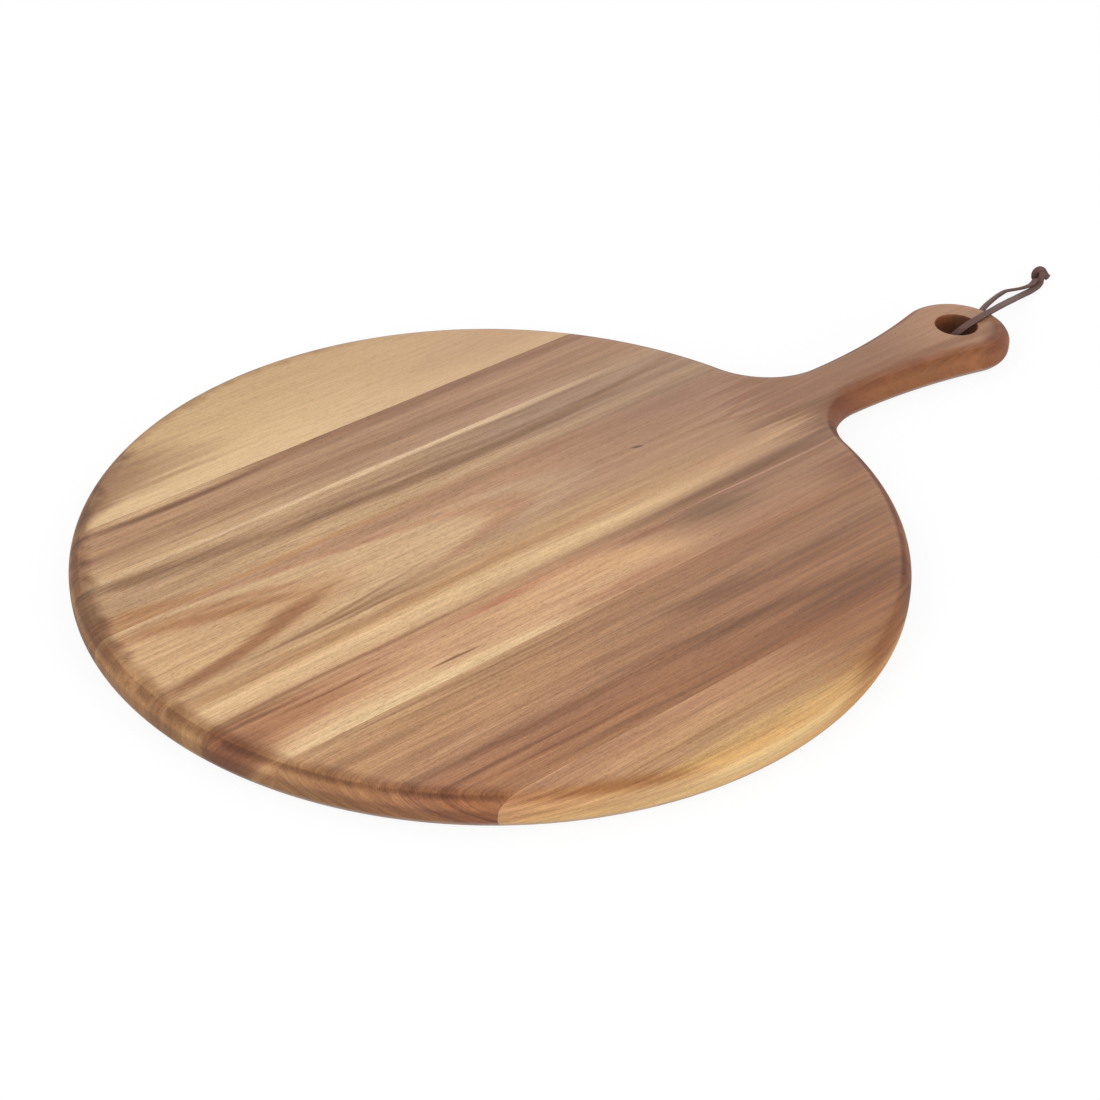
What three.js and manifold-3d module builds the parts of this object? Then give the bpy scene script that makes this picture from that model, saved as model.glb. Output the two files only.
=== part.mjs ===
// A round serving board with a paddle handle, glued up from seven staves of acacia, and its leather
// hanging lace. Millimetres. The origin is the disc's centre on the underside, +X runs along the
// handle and +Z points up out of the serving face.

import * as THREE from 'three';
import { mergeVertices } from 'three/addons/utils/BufferGeometryUtils.js';
import Module from 'manifold-3d';

const wasm = await Module();
wasm.setup();

// Board
const BOARD_DIAMETER = 355;
const BOARD_THICKNESS = 14;
const EDGE_RADIUS = 6; // both edges of the rim are rounded over
const EDGE_LAND = 1; // least upright band left between the two roundings

// Handle
const HANDLE_LENGTH = 139.5; // from the disc's rim to the handle's tip
const HANDLE_END_RADIUS = 27;
const WAIST_WIDTH = 32.5; // narrowest width, where the neck meets the handle
const NECK_FILLET = 34; // hollow that blends the disc into the handle
const HOLE_DIAMETER = 20.5;
const HOLE_TO_TIP = 26.5;
const HOLE_EASE = 0.8; // the hole's two rims are eased by this radius

// Glued panel: the glue lines lie a little askew of the handle, as the panel lay under the router
const PANEL_ANGLE = THREE.MathUtils.degToRad(1.4);
const GLUE_LINE = 0.2;
const HANDLE_STAVE_WIDTH = 76.8;
const HANDLE_STAVE_BACK = 36; // from the disc's centre to the handle stave's back edge
const STAVE_2_WIDTH = 37;
const STAVE_3_WIDTH = 32.4;
const STAVE_5_WIDTH = 29.8;
const STAVE_6_WIDTH = 67.3;

// Lace
const LACE_WIDTH = 4;
const LACE_THICKNESS = 1.8;
const LACE_CORNER = 0.5; // bevel of the lace's four edges
const LACE_STEP = 2.4; // length of one facet along a strand
const GROOVE_ANGLE = THREE.MathUtils.degToRad(22.6); // of the lace's groove, from the handle's axis
const GROOVE_SIDE_ROOM = 0.7; // beside the lace, on each side
const GROOVE_HEADROOM = 1; // over the lace
const KNOT_LENGTH = 8;
const KNOT_WIDTH = 7;
const KNOT_HEIGHT = 6.6;
const KNOT_TURN_RADIUS = 1.3; // half the thickness of the turn wrapped round the knot
const KNOT_TURN_PROUD = 0.5; // how far the turn stands out of the knot's heart
const TAIL_LENGTH = 8.5; // from the knot's middle

// Fineness
const CHORD_ERROR = 0.06; // how far a facet may lie inside its true arc
const EDGE_SEGMENTS = 5;
const HOLE_SEGMENTS = 40;
const EASE_SEGMENTS = 3;
const KNOT_SEGMENTS = 18;
const TURN_SIDES = 8;
const MERGE_DISTANCE = 1e-5;

// Finish
const WOOD_ROUGHNESS = 0.55;
const LEATHER_COLOR = 0x4a332f;
const LEATHER_ROUGHNESS = 0.7;

// Worked out from the sizes above
const discRadius = BOARD_DIAMETER / 2;
const edgeRadius = Math.min(EDGE_RADIUS, (BOARD_THICKNESS - EDGE_LAND) / 2);
const tipX = discRadius + HANDLE_LENGTH;
const endX = tipX - HANDLE_END_RADIUS;
const holeX = tipX - HOLE_TO_TIP;
const holeRadius = HOLE_DIAMETER / 2;
const waist = WAIST_WIDTH / 2;
const filletY = waist + NECK_FILLET;
const neckX = Math.sqrt((discRadius + NECK_FILLET) ** 2 - filletY ** 2); // where the handle begins

// The lace's route, measured from the hole's centre on the underside. The two strands meet inside the
// hole, where the lace bends round the end of the handle, and again at the knot.
const OVER_ROUTE = [
  [-2.4, -0.4, 8.5], [-2.3, -0.45, 9.6], [-1.4, -1.0, 11.9], [1.1, -2.1, 14.35], [3.8, -3.0, 15.3],
  [7.4, -3.4, 15.45], [12.7, -2.6, 15.4], [18.7, -1.8, 15.4], [24.5, -0.1, 14.65], [32.4, 3.2, 11.9],
  [41.6, 7.4, 8.4], [51.3, 12.0, 4.7], [59.9, 15.6, 1.9], [66.4, 17.2, 1.05], [71.3, 17.9, 1.0],
  [76.3, 18.2, 1.0], [80.6, 18.6, 1.1], [84.0, 19.7, 1.5], [87.0, 21.4, 2.2],
];
const OVER_LEAN = 0;
const UNDER_ROUTE = [
  [-2.4, -0.4, 7.9], [-2.3, -0.35, 6.8], [-1.4, 0.0, 4.5], [1.1, 0.7, 2.1], [4.2, 1.75, 1.25],
  [9.2, 3.8, 1.2], [16.6, 6.9, 1.2], [24.0, 10.0, 1.25], [32.0, 13.3, 1.6], [41.0, 17.1, 1.85],
  [46.8, 19.2, 1.85], [52.4, 20.9, 1.85], [57.7, 22.2, 1.85], [62.5, 22.9, 1.9], [66.0, 22.7, 1.95],
  [69.3, 22.4, 2.0], [72.5, 22.1, 2.05], [76.0, 22.0, 2.1], [80.0, 22.3, 2.3], [83.4, 23.1, 2.8],
  [86.0, 24.0, 3.5],
];
const UNDER_LEAN = THREE.MathUtils.degToRad(-45); // the strand leans over on its way to the knot
const LEAN_FROM = 0.33; // shares of a strand's length between which its lean grows
const LEAN_TO = 0.5;
const LACE_SIDE = new THREE.Vector3(-0.3, 1, 0).normalize(); // the way the lace's width points
const KNOT_CENTRE = [90.6, 23.4, 3.45];
const KNOT_HEADING = THREE.MathUtils.degToRad(36);
const TAIL_SWINGS = [-95, 75].map(THREE.MathUtils.degToRad); // from the knot's heading
const TAIL_DIP = THREE.MathUtils.degToRad(14);

const board = new THREE.Group();
const lace = new THREE.Group();
lace.position.set(holeX, 0, 0);
board.add(lace);

// A closed geometry as a solid that can be cut and joined
function solidOf(geometry) {
  const bare = geometry.clone();
  bare.deleteAttribute('normal');
  bare.deleteAttribute('uv');
  const merged = mergeVertices(bare, MERGE_DISTANCE);
  const mesh = new wasm.Mesh({
    numProp: 3,
    vertProperties: new Float32Array(merged.attributes.position.array),
    triVerts: new Uint32Array(merged.index.array),
  });
  return new wasm.Manifold(mesh);
}

function geometryOf(solid) {
  const mesh = solid.getMesh();
  const geometry = new THREE.BufferGeometry();
  geometry.setAttribute('position', new THREE.BufferAttribute(mesh.vertProperties, 3));
  geometry.setIndex(new THREE.BufferAttribute(mesh.triVerts, 1));
  geometry.computeVertexNormals();
  return geometry;
}

function addPiece(parent, name, solid, color, roughness) {
  const material = new THREE.MeshStandardMaterial({ color, roughness, metalness: 0 });
  const mesh = new THREE.Mesh(geometryOf(solid), material);
  mesh.name = name;
  parent.add(mesh);
}

// Points of a circular arc, both ends included, close enough for the chord error
function arcPoints(centreX, centreY, radius, from, to) {
  const step = 2 * Math.acos(1 - CHORD_ERROR / radius);
  const count = Math.max(2, Math.ceil(Math.abs(to - from) / step));
  const points = [];
  for (let i = 0; i <= count; i++) {
    const angle = from + ((to - from) * i) / count;
    points.push(new THREE.Vector2(centreX + radius * Math.cos(angle), centreY + radius * Math.sin(angle)));
  }
  return points;
}

// The board seen from above: four arcs on each side, each tangent to the next. They are the handle's
// round end, its hollow flank, the fillet of the neck and the disc.
function boardOutline() {
  const run = endX - neckX;
  const flankRadius = (run ** 2 + waist ** 2 - HANDLE_END_RADIUS ** 2) / (2 * (HANDLE_END_RADIUS - waist));
  const flankY = waist + flankRadius;
  const endAngle = Math.atan2(flankY, neckX - endX);
  const neckAngle = Math.atan2(filletY, neckX);
  const half = [
    ...arcPoints(endX, 0, HANDLE_END_RADIUS, 0, endAngle),
    ...arcPoints(neckX, flankY, flankRadius, endAngle - Math.PI, -Math.PI / 2).slice(1),
    ...arcPoints(neckX, filletY, NECK_FILLET, -Math.PI / 2, neckAngle - Math.PI).slice(1),
    ...arcPoints(0, 0, discRadius, neckAngle, Math.PI).slice(1),
  ];
  const mirrored = half.slice(1, -1).reverse().map((p) => new THREE.Vector2(p.x, -p.y));
  return new THREE.Shape([...half, ...mirrored]);
}

function boardBlank() {
  const blank = new THREE.ExtrudeGeometry(boardOutline(), {
    depth: BOARD_THICKNESS - 2 * edgeRadius,
    bevelThickness: edgeRadius,
    bevelSize: edgeRadius,
    bevelOffset: -edgeRadius,
    bevelSegments: EDGE_SEGMENTS,
  });
  blank.translate(0, 0, edgeRadius);
  return solidOf(blank);
}

// The cutter for the hanging hole: a pin that flares at both faces to ease the rims
function holeCutter() {
  const past = BOARD_THICKNESS;
  const rim = [];
  for (let i = 0; i <= EASE_SEGMENTS; i++) {
    const turn = (i / EASE_SEGMENTS) * (Math.PI / 2);
    const radius = holeRadius + HOLE_EASE * (1 - Math.sin(turn));
    rim.push(new THREE.Vector2(radius, HOLE_EASE * (1 - Math.cos(turn))));
  }
  const lower = rim;
  const upper = rim.map((p) => new THREE.Vector2(p.x, BOARD_THICKNESS - p.y)).reverse();
  const wide = holeRadius + HOLE_EASE;
  const profile = [
    new THREE.Vector2(0, -past),
    new THREE.Vector2(wide, -past),
    ...lower,
    ...upper,
    new THREE.Vector2(wide, BOARD_THICKNESS + past),
    new THREE.Vector2(0, BOARD_THICKNESS + past),
  ];
  const pin = new THREE.LatheGeometry(profile, HOLE_SEGMENTS);
  pin.rotateX(Math.PI / 2);
  pin.translate(holeX, 0, 0);
  return solidOf(pin);
}

// The cutter for the groove that lets the lace pass under the handle's end while the board lies flat
function grooveCutter() {
  const width = LACE_WIDTH + 2 * GROOVE_SIDE_ROOM;
  const depth = LACE_THICKNESS + GROOVE_HEADROOM;
  const length = HOLE_TO_TIP + HANDLE_END_RADIUS;
  const bar = new THREE.BoxGeometry(length, width, 2 * depth);
  bar.translate(length / 2, 0, 0);
  bar.rotateZ(GROOVE_ANGLE);
  bar.translate(holeX, 0, 0);
  return solidOf(bar);
}

// A slab across the panel between two glue lines, which takes one stave out of the board. It starts past
// the disc's far rim and runs to the stave's end.
function staveSlab(front, back, end) {
  const start = -BOARD_DIAMETER;
  const slab = new THREE.BoxGeometry(end - start, back - front, 4 * BOARD_THICKNESS);
  slab.translate((start + end) / 2, (front + back) / 2, 0);
  slab.rotateZ(PANEL_ANGLE);
  return solidOf(slab);
}

// The handle is cut from its own stave alone, so the other staves end at the neck
function addStaves() {
  const blank = boardBlank().subtract(holeCutter()).subtract(grooveCutter());
  const handleEnd = 2 * tipX;
  const line34 = HANDLE_STAVE_BACK;
  const line23 = line34 + STAVE_3_WIDTH;
  const line12 = line23 + STAVE_2_WIDTH;
  const line45 = line34 - HANDLE_STAVE_WIDTH;
  const line56 = line45 - STAVE_5_WIDTH;
  const line67 = line56 - STAVE_6_WIDTH;
  const half = GLUE_LINE / 2;
  const staves = [
    ['stave_1_back', line12 + half, BOARD_DIAMETER, neckX, 0xb8936a],
    ['stave_2', line23 + half, line12 - half, neckX, 0x9c7253],
    ['stave_3', line34 + half, line23 - half, neckX, 0x967455],
    ['stave_4_handle', line45 + half, line34 - half, handleEnd, 0x9d7450],
    ['stave_5', line56 + half, line45 - half, neckX, 0xa0704f],
    ['stave_6', line67 + half, line56 - half, neckX, 0x8d6448],
    ['stave_7_front', -BOARD_DIAMETER, line67 - half, neckX, 0xa67c50],
  ];
  for (const [name, front, back, end, color] of staves) {
    addPiece(board, name, blank.intersect(staveSlab(front, back, end)), color, WOOD_ROUGHNESS);
  }
}

// The lace's flat section, with its edges bevelled
function laceSection() {
  const x = LACE_WIDTH / 2;
  const y = LACE_THICKNESS / 2;
  const c = LACE_CORNER;
  const corners = [
    [x, c - y], [x, y - c], [x - c, y], [c - x, y], [-x, y - c], [-x, c - y], [c - x, -y], [x - c, -y],
  ];
  return new THREE.Shape(corners.map(([px, py]) => new THREE.Vector2(px, py)));
}

// A strand's route. Its frames keep the lace's width square to the route and level, apart from a lean
// that grows over the middle of the strand.
class StrandPath extends THREE.CatmullRomCurve3 {
  constructor(route, lean) {
    super(route.map(([x, y, z]) => new THREE.Vector3(x, y, z)), false, 'centripetal');
    this.lean = lean;
  }

  computeFrenetFrames(segments) {
    const frames = { tangents: [], normals: [], binormals: [] };
    for (let i = 0; i <= segments; i++) {
      const share = i / segments;
      const tangent = this.getTangentAt(share);
      const across = LACE_SIDE.clone().addScaledVector(tangent, -LACE_SIDE.dot(tangent)).normalize();
      const blend = THREE.MathUtils.smoothstep(share, LEAN_FROM, LEAN_TO);
      across.applyAxisAngle(tangent, this.lean * blend);
      frames.tangents.push(tangent);
      frames.normals.push(across);
      frames.binormals.push(new THREE.Vector3().crossVectors(tangent, across));
    }
    return frames;
  }
}

function addStrand(name, route, lean) {
  const path = new StrandPath(route, lean);
  const strand = new THREE.ExtrudeGeometry(laceSection(), {
    extrudePath: path,
    steps: Math.round(path.getLength() / LACE_STEP),
    bevelEnabled: false,
  });
  addPiece(lace, name, solidOf(strand), LEATHER_COLOR, LEATHER_ROUGHNESS);
}

// The knot: a swollen heart, the turn of lace wrapped round it and the two cut tails
function addKnot() {
  const heart = new THREE.SphereGeometry(0.5, KNOT_SEGMENTS, KNOT_SEGMENTS / 2);
  heart.scale(KNOT_LENGTH, KNOT_WIDTH - 2 * KNOT_TURN_PROUD, KNOT_HEIGHT - 2 * KNOT_TURN_PROUD);
  const turnRadius = KNOT_WIDTH / 2 - KNOT_TURN_RADIUS;
  const turn = new THREE.TorusGeometry(turnRadius, KNOT_TURN_RADIUS, TURN_SIDES, KNOT_SEGMENTS);
  turn.scale(1, KNOT_HEIGHT / KNOT_WIDTH, 1);
  turn.rotateX(Math.PI / 2);
  turn.rotateZ(Math.PI / 2);
  let solid = solidOf(heart).add(solidOf(turn));
  for (const swing of TAIL_SWINGS) {
    const tail = new THREE.ExtrudeGeometry(laceSection(), { depth: TAIL_LENGTH, bevelEnabled: false });
    tail.rotateX(Math.PI / 2);
    tail.rotateZ(Math.PI / 2);
    tail.rotateY(TAIL_DIP);
    tail.rotateZ(swing);
    solid = solid.add(solidOf(tail));
  }
  const knot = new THREE.Group();
  knot.position.set(...KNOT_CENTRE);
  knot.rotation.z = KNOT_HEADING;
  addPiece(knot, 'lace_knot', solid, LEATHER_COLOR, LEATHER_ROUGHNESS);
  lace.add(knot);
}

addStaves();
addStrand('lace_over', OVER_ROUTE, OVER_LEAN);
addStrand('lace_under', UNDER_ROUTE, UNDER_LEAN);
addKnot();

export default board;
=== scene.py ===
# %% [markdown]
# # A round serving board with a paddle handle
# The real board is a panel of seven acacia staves, glued edge to edge, routed to a disc with a handle,
# rounded over, drilled and oiled. A leather lace hangs through the hole. This lesson builds it in the
# order of the workshop: camera, lace, board blank, saw cuts, wood, light.

import bmesh
import bpy
import numpy as np
from mathutils import Matrix, Vector
from mathutils.geometry import delaunay_2d_cdt


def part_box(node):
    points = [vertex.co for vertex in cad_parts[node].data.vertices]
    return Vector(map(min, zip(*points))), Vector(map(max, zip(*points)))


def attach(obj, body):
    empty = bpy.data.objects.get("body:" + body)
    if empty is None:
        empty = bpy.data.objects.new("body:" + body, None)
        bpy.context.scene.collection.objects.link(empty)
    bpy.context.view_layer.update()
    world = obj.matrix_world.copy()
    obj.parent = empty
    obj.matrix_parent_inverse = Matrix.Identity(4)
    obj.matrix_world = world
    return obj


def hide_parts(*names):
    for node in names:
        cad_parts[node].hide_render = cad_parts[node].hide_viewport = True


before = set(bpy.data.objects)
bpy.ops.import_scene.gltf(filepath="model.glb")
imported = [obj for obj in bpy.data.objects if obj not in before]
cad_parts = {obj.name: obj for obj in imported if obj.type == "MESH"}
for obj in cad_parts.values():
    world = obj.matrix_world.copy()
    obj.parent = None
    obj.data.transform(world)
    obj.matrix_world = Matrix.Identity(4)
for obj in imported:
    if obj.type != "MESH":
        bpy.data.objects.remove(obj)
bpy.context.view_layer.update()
MM = 0.001
_, handle_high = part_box("stave_4_handle")
THICKNESS = handle_high.z
TIP_X = handle_high.x
print("nodes:", sorted(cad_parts))
print("thickness and tip in millimetres:", round(THICKNESS / MM, 2), round(TIP_X / MM, 2))

# %% [markdown]
# ## Camera
# A product photograph is matched best when the camera is placed before anything else. The disc's
# outline, the glue lines and the hole fix its height, distance and lens. The camera is turned by three
# unit vectors, which is clearer than three Euler angles: right, up, and back out of the picture.

# %% Camera
FRAME_PIXELS = 1100
FOCAL_PIXELS = 2295.06
SENSOR_WIDTH = 36.0
CAMERA_AZIMUTH = np.radians(-40.218)
CAMERA_ELEVATION = np.radians(34.554)
CAMERA_ROLL = np.radians(1.375)
CAMERA_DISTANCE = 985.46 * MM
CAMERA_TARGET = Vector((21.53 * MM, -12.8 * MM, 0.0))


def camera_axes(azimuth, elevation, roll):
    """Right, up and back of a camera that looks down from that side, turned about its own view by roll."""
    level = np.cos(elevation)
    back = Vector((np.sin(azimuth) * level, -np.cos(azimuth) * level, np.sin(elevation)))
    right = Vector((np.cos(azimuth), np.sin(azimuth), 0.0))
    up = back.cross(right)
    return right * np.cos(roll) + up * np.sin(roll), up * np.cos(roll) - right * np.sin(roll), back


right, up, back = camera_axes(CAMERA_AZIMUTH, CAMERA_ELEVATION, CAMERA_ROLL)
lens = bpy.data.cameras.new("studio_camera")
lens.sensor_width = SENSOR_WIDTH
lens.lens = FOCAL_PIXELS / FRAME_PIXELS * SENSOR_WIDTH
camera = bpy.data.objects.new("studio_camera", lens)
bpy.context.scene.collection.objects.link(camera)
camera.matrix_world = Matrix.Translation(CAMERA_TARGET + back * CAMERA_DISTANCE) @ Matrix(
    (right, up, back)
).transposed().to_4x4()
bpy.context.scene.camera = camera
print("lens of", round(lens.lens, 1), "mm at", [round(x, 3) for x in camera.matrix_world.translation])

# %% [markdown]
# ## From arrays to meshes
# Every new surface here is a grid: rows of points worked out as one numpy array. Two helpers turn
# arrays into objects. The first numbers the quads of a grid, the second makes the mesh.


# %% Grid helpers
def grid_faces(rows, columns, close_columns=True, first=0):
    """Quads of a grid of rows x columns points, as vertex numbers. Columns may run round and close."""
    row = np.arange(rows - 1)[:, None]
    column = np.arange(columns if close_columns else columns - 1)[None, :]
    along = (column + 1) % columns
    corners = [row * columns + column, row * columns + along]
    corners += [(row + 1) * columns + along, (row + 1) * columns + column]
    return np.stack(np.broadcast_arrays(*corners), axis=-1).reshape(-1, 4) + first


def mesh_object(name, points, faces):
    """A smooth-shaded mesh object at the origin, from an array of points and lists of faces."""
    mesh = bpy.data.meshes.new(name)
    mesh.from_pydata(np.asarray(points).reshape(-1, 3).tolist(), [], [list(map(int, f)) for f in faces])
    mesh.validate()
    mesh.shade_smooth()
    made = bpy.data.objects.new(name, mesh)
    bpy.context.scene.collection.objects.link(made)
    return made


print("grid of 3 rows and 4 columns:", len(grid_faces(3, 4)), "quads")

# %% [markdown]
# ## The lace
# The lace is a flat leather thong, about 4 mm wide. One strand comes up through the hole and lies over
# the handle's end, the other passes under it in a groove, and the two meet in a knot on the table. A
# flat strand is a rounded section carried along a smooth route. The route is a centripetal Catmull-Rom
# curve, which passes through its points without overshooting.

# %% Lace routes
HOLE_X = 290.5 * MM
LACE_WIDTH = 3.8 * MM
LACE_THICKNESS = 1.6 * MM
OVER_ROUTE = [
    (-4.6, 0.9, 5.8), (-2.0, 0.0, 7.7), (0.6, -0.9, 9.6), (3.2, -1.8, 11.5), (7.1, -2.7, 13.4),
    (11.0, -3.6, 14.9), (16.7, -3.1, 15.2), (22.9, -2.3, 15.1), (33.5, 1.0, 12.9), (47.4, 6.7, 8.4),
    (61.5, 12.5, 3.7), (70.5, 15.3, 1.5), (76.0, 16.0, 1.1), (79.9, 16.6, 1.1), (83.4, 17.5, 1.1),
    (86.7, 18.8, 1.3), (87.7, 19.3, 1.5),
]
UNDER_ROUTE = [
    (-4.6, 0.9, 5.4), (-5.0, 1.1, 4.1), (-3.6, 1.1, 2.6), (-0.4, 1.2, 1.7), (4.2, 2.0, 1.3),
    (9.2, 3.8, 1.2), (16.6, 6.9, 1.2), (24.0, 10.0, 1.25), (32.0, 13.3, 1.5), (40.6, 17.0, 1.75),
    (46.4, 19.1, 1.8), (51.9, 20.6, 1.85), (57.0, 21.8, 1.9), (61.2, 22.5, 1.9), (64.2, 22.8, 1.9),
    (66.9, 22.2, 1.9), (69.7, 21.2, 1.9), (73.0, 20.1, 1.9), (76.6, 19.3, 2.0), (80.4, 19.2, 2.1),
    (83.1, 19.8, 2.4), (85.4, 20.6, 2.9),
]
SPAN_STEPS = 24
RING_SPACING = 0.5 * MM
LACE_SIDE = np.array([-0.3, 1.0, 0.0]) / np.hypot(0.3, 1.0)


def in_metres(route):
    """Route points in millimetres from the hole's centre, as metres in the board's frame."""
    return np.array(route) * MM + np.array([HOLE_X, 0.0, 0.0])


def smooth_route(points, spacing):
    """Centripetal Catmull-Rom curve: each span blends its four nearest points by the square roots of
    the distances between them. The curve is then cut again at an even spacing."""
    padded = np.vstack([2 * points[0] - points[1], points, 2 * points[-1] - points[-2]])
    p0, p1, p2, p3 = (padded[i : len(padded) - 3 + i, None] for i in range(4))
    d01, d12, d23 = (np.sqrt(np.linalg.norm(b - a, axis=-1, keepdims=True)) for a, b in
                     ((p0, p1), (p1, p2), (p2, p3)))
    t = np.linspace(0, 1, SPAN_STEPS, endpoint=False)[None, :, None] * d12
    a1 = (p0 * -t + p1 * (t + d01)) / d01
    a2 = (p1 * (d12 - t) + p2 * t) / d12
    a3 = (p2 * (d12 + d23 - t) + p3 * (t - d12)) / d23
    b1 = (a1 * (d12 - t) + a2 * (t + d01)) / (d01 + d12)
    b2 = (a2 * (d12 + d23 - t) + a3 * t) / (d12 + d23)
    fine = np.vstack([((b1 * (d12 - t) + b2 * t) / d12).reshape(-1, 3), points[-1]])
    run = np.concatenate([[0], np.cumsum(np.linalg.norm(np.diff(fine, axis=0), axis=1))])
    even = np.linspace(0, run[-1], int(run[-1] / spacing) + 1)
    return np.stack([np.interp(even, run, fine[:, axis]) for axis in range(3)], axis=1)


def route_length(line):
    """Sum of the distances between a line's points."""
    return float(np.linalg.norm(np.diff(line, axis=0), axis=1).sum())


over_line = smooth_route(in_metres(OVER_ROUTE), RING_SPACING)
under_line = smooth_route(in_metres(UNDER_ROUTE), RING_SPACING)
print("strands in mm:", [round(route_length(line) / MM, 1) for line in (over_line, under_line)])

# %% [markdown]
# The section is a superellipse, a rectangle with soft corners. Hand-cut leather is never quite even,
# so the width and the thickness swell a little along the strand, by a sum of slow waves.

# %% Lace strands
SECTION_POINTS = 28
SECTION_POWER = 0.5
END_BULGE = 0.3 * MM
OVER_LEAN = 0.0
UNDER_LEAN = np.radians(-28)
LEAN_SHARES = (0.33, 0.5)
OVER_PHASE = 0.4
UNDER_PHASE = 2.1
WAVES = ((0.02, 3.1, 1), (0.015, 1.7, 2), (0.015, 7.3, 0))


def strand_frames(line, lean):
    """Tangent, across and normal at each point of a line. Across stays level and square to the line,
    then leans about it between two shares of the length."""
    tangent = np.gradient(line, axis=0)
    tangent /= np.linalg.norm(tangent, axis=1, keepdims=True)
    across = LACE_SIDE - tangent * (tangent @ LACE_SIDE)[:, None]
    across /= np.linalg.norm(across, axis=1, keepdims=True)
    normal = np.cross(tangent, across)
    share = np.clip((np.linspace(0, 1, len(line)) - LEAN_SHARES[0]) / np.ptp(LEAN_SHARES), 0, 1)
    turn = (lean * share * share * (3 - 2 * share))[:, None]
    cos, sin = np.cos(turn), np.sin(turn)
    return tangent, across * cos + normal * sin, normal * cos - across * sin


def flat_tube(line, tangent, across, normal, half_width, half_thickness):
    """Grid of points of a soft-cornered band: line + across * width * cos + normal * thickness * sin,
    with both raised to a power below one. Each end closes on a single point, pushed out a little."""
    angle = np.linspace(0, 2 * np.pi, SECTION_POINTS, endpoint=False)
    side = np.sign(np.cos(angle)) * np.abs(np.cos(angle)) ** SECTION_POWER
    face = np.sign(np.sin(angle)) * np.abs(np.sin(angle)) ** SECTION_POWER
    wide = across[:, None] * (half_width[:, None] * side)[..., None]
    thick = normal[:, None] * (half_thickness[:, None] * face)[..., None]
    rings = line[:, None] + wide + thick
    start, end = line[0] - tangent[0] * END_BULGE, line[-1] + tangent[-1] * END_BULGE
    points = np.vstack([rings.reshape(-1, 3), start, end])
    faces = grid_faces(len(line), SECTION_POINTS).tolist()
    last = (len(line) - 1) * SECTION_POINTS
    column = np.arange(SECTION_POINTS)
    ahead = (column + 1) % SECTION_POINTS
    faces += np.stack([ahead, column, np.full_like(column, len(points) - 2)], 1).tolist()
    faces += np.stack([last + column, last + ahead, np.full_like(column, len(points) - 1)], 1).tolist()
    return points, faces


def slow_waves(length, phase):
    """A gentle unevenness, about one part in twenty: 1 + the sum of three sines along the strand. Each
    wave is (height, length in mm, turns of the phase), and the three never line up."""
    s = np.arange(length) * RING_SPACING / MM
    return 1 + sum(height * np.sin(s / wave + turns * phase) for height, wave, turns in WAVES)


def make_strand(name, line, lean, phase):
    """One strand: the flat tube along its line, uneven by its own phase."""
    half_width = LACE_WIDTH / 2 * slow_waves(len(line), phase)
    half_thickness = LACE_THICKNESS / 2 * slow_waves(len(line), phase + 1)
    points, faces = flat_tube(line, *strand_frames(line, lean), half_width, half_thickness)
    strand = mesh_object(name, points, faces)
    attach(strand, "root")
    return strand


lace_over = make_strand("leather_strand_over", over_line, OVER_LEAN, OVER_PHASE)
lace_under = make_strand("leather_strand_under", under_line, UNDER_LEAN, UNDER_PHASE)
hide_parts("lace_over")
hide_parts("lace_under")
print("strand faces:", len(lace_over.data.polygons), len(lace_under.data.polygons))

# %% [markdown]
# The knot is easiest to place as the camera sees it: right, up, and out towards the camera. The strands
# run up its front, dive under the ring, pass behind and come round at the left. The ring then goes over
# the top and ends in the short tail at the right.

# %% Lace knot
KNOT_CENTRE = in_metres([(89.9, 22.1, 3.9)])[0]
KNOT_WIDTH = 3.3 * MM
KNOT_THICKNESS = 2.2 * MM
KNOT_SPACING = 0.15 * MM
KNOT_ROUTE = [
    (-0.1, -4.5, 1.7), (0.4, -3.2, 1.8), (0.8, -1.6, 1.9), (1.0, 0.2, 1.7), (0.9, 1.5, 0.5),
    (0.2, 1.9, -1.3), (-0.9, 0.7, -2.2), (-1.7, -0.9, -1.9), (-2.4, -1.4, -0.6), (-2.5, 0.2, 0.4),
    (-1.8, 1.6, 1.1), (-0.4, 2.35, 1.6), (1.2, 2.0, 1.5), (2.3, 0.8, 0.8), (3.3, -0.6, 0.4),
    (4.6, -1.8, 0.3),
]
knot_axes = np.array(camera_axes(CAMERA_AZIMUTH, CAMERA_ELEVATION, 0.0))
knot_line = smooth_route(KNOT_CENTRE + np.array(KNOT_ROUTE) * MM @ knot_axes, KNOT_SPACING)
tangent = np.gradient(knot_line, axis=0)
tangent /= np.linalg.norm(tangent, axis=1, keepdims=True)
across = np.cross(tangent, knot_axes[2])
across /= np.linalg.norm(across, axis=1, keepdims=True)
half_width = np.full(len(knot_line), KNOT_WIDTH / 2)
half_thickness = np.full(len(knot_line), KNOT_THICKNESS / 2)
points, faces = flat_tube(knot_line, tangent, across, np.cross(tangent, across), half_width, half_thickness)
knot = mesh_object("leather_knot", points, faces)
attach(knot, "root")
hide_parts("lace_knot")
print("knot box in mm:", (points.min(0) / MM).round(1), (points.max(0) / MM).round(1))

# %% [markdown]
# Leather of this width hangs limp. Both strands end in the knot.

# %% Lace ends
for strand, line in ((lace_over, over_line), (lace_under, under_line)):
    print(strand.name, "from", (line[0] / MM).round(1), "to", (line[-1] / MM).round(1))

# %% [markdown]
# ## The board's outline
# Seen from above, each side of the board is four arcs, each tangent to the next: the handle's round
# end, its hollow flank, the fillet of the neck and the disc. Moving every arc inwards by one distance
# keeps them tangent, because their centres stay: the bulging arcs lose radius and the hollow ones gain
# it. So one formula gives the outline at every step of the rounded edge.

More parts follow.
